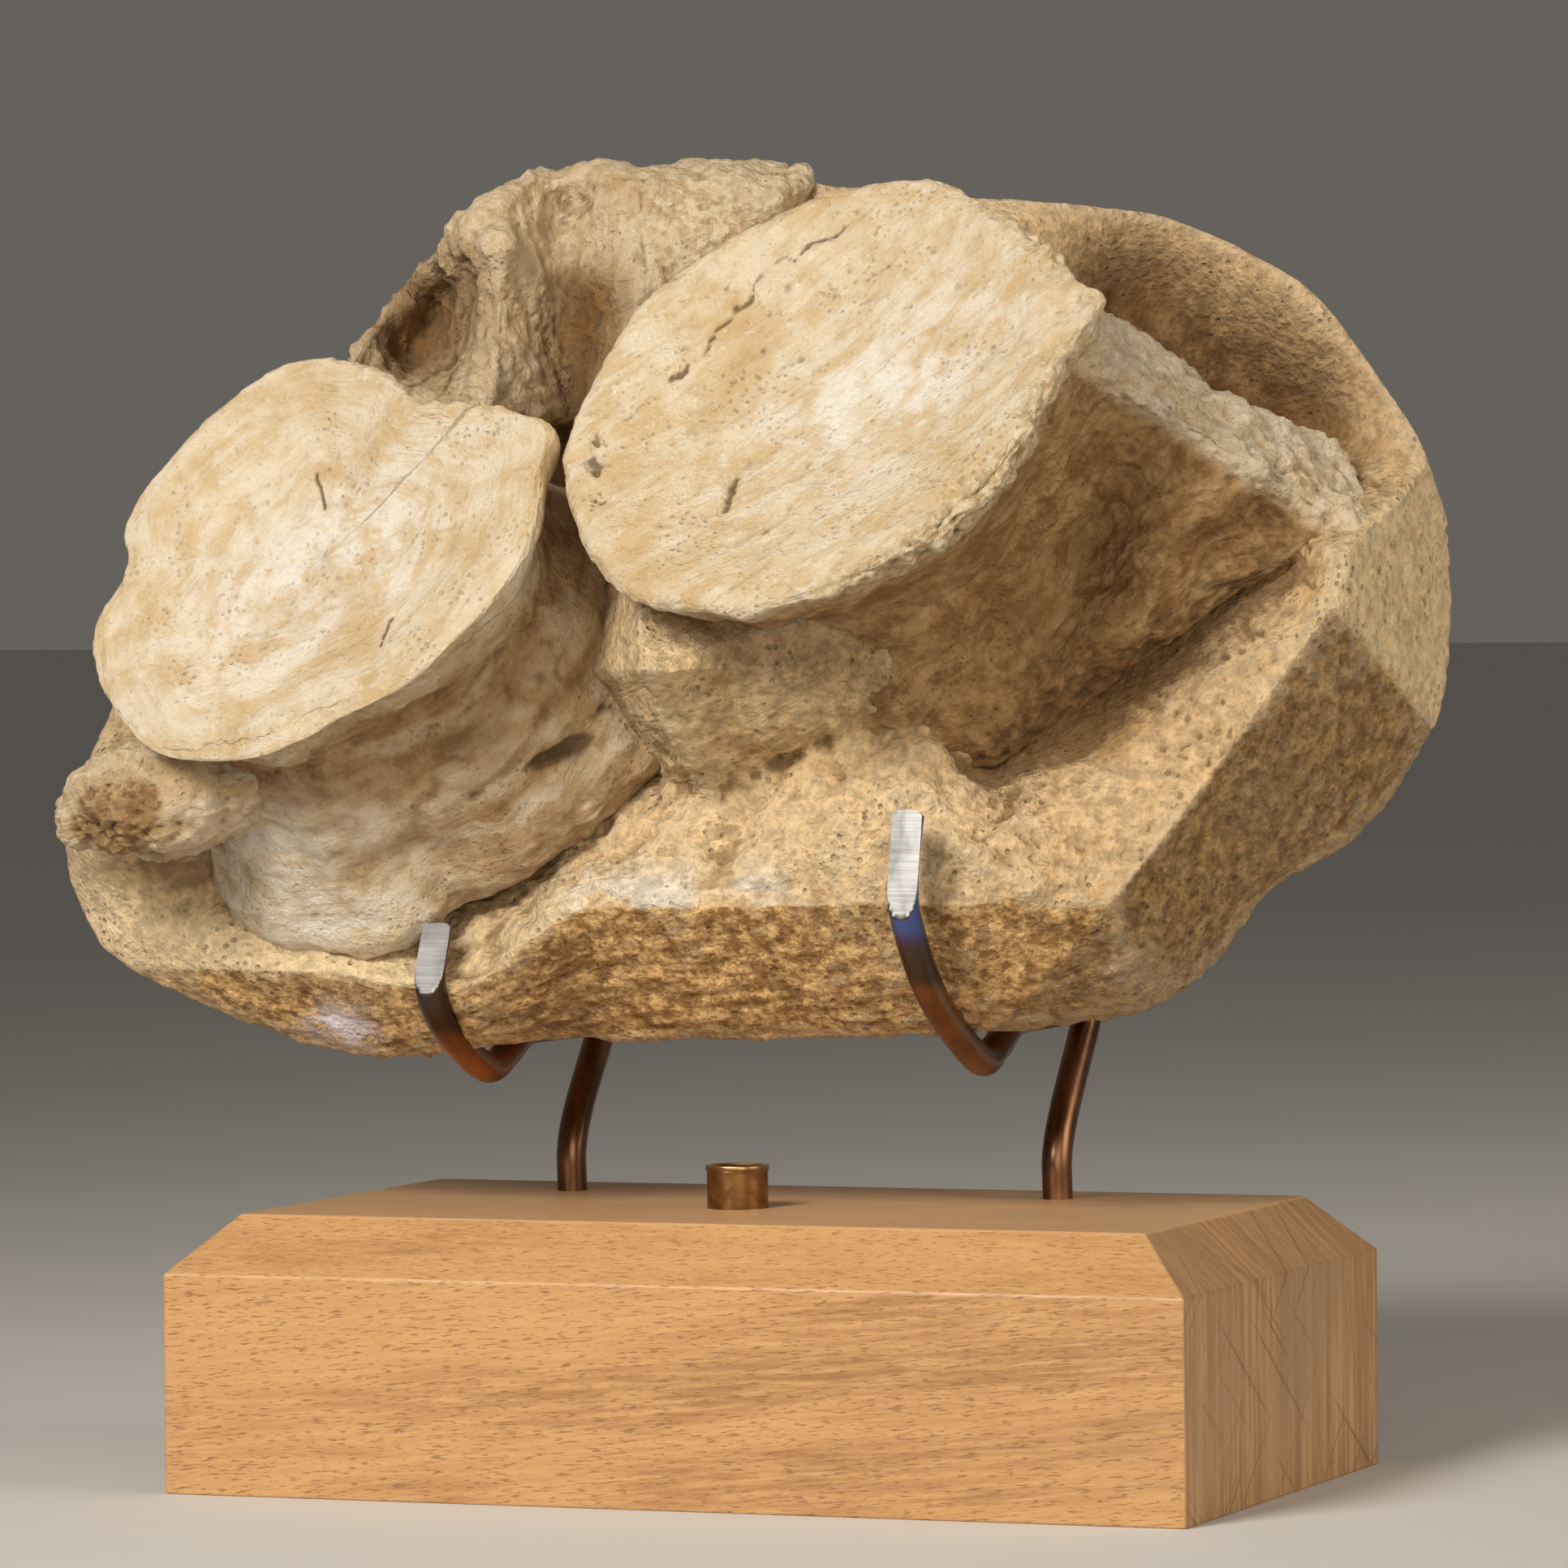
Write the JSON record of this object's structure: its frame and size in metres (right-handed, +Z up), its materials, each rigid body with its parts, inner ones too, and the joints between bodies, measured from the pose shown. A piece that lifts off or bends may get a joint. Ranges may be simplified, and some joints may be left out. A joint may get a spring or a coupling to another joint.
{
  "type": "mounted fossil vertebrae",
  "caption": "Fossil dinosaur vertebrae side by side in a block of matrix, held by bronzed steel claw rods above a chamfered wooden display base.",
  "frame": {"origin": "middle of the base's underside", "axes": "+Z up, +X along the base to the right as seen from the shown side, +Y away from the shown side"},
  "size_m": [0.3728, 0.2102, 0.3478],
  "materials": {
    "bone": "matte fossil bone, cream to ochre",
    "matrix": "rough sandy matrix",
    "wood": "oiled hardwood with open pores",
    "bronzed_steel": "bronze-brown patina, bright ground tips",
    "brass": "aged brass"
  },
  "bodies": {
    "root": {"left_centrum": "bone", "right_centrum": "bone", "left_process": "bone", "right_process": "bone", "left_neural_arch": "bone", "matrix_block": "matrix", "base_block": "wood", "base_peg": "brass", "left_upright": "bronzed_steel", "left_claw": "bronzed_steel", "right_upright": "bronzed_steel", "right_claw": "bronzed_steel"}
  },
  "joints": []
}
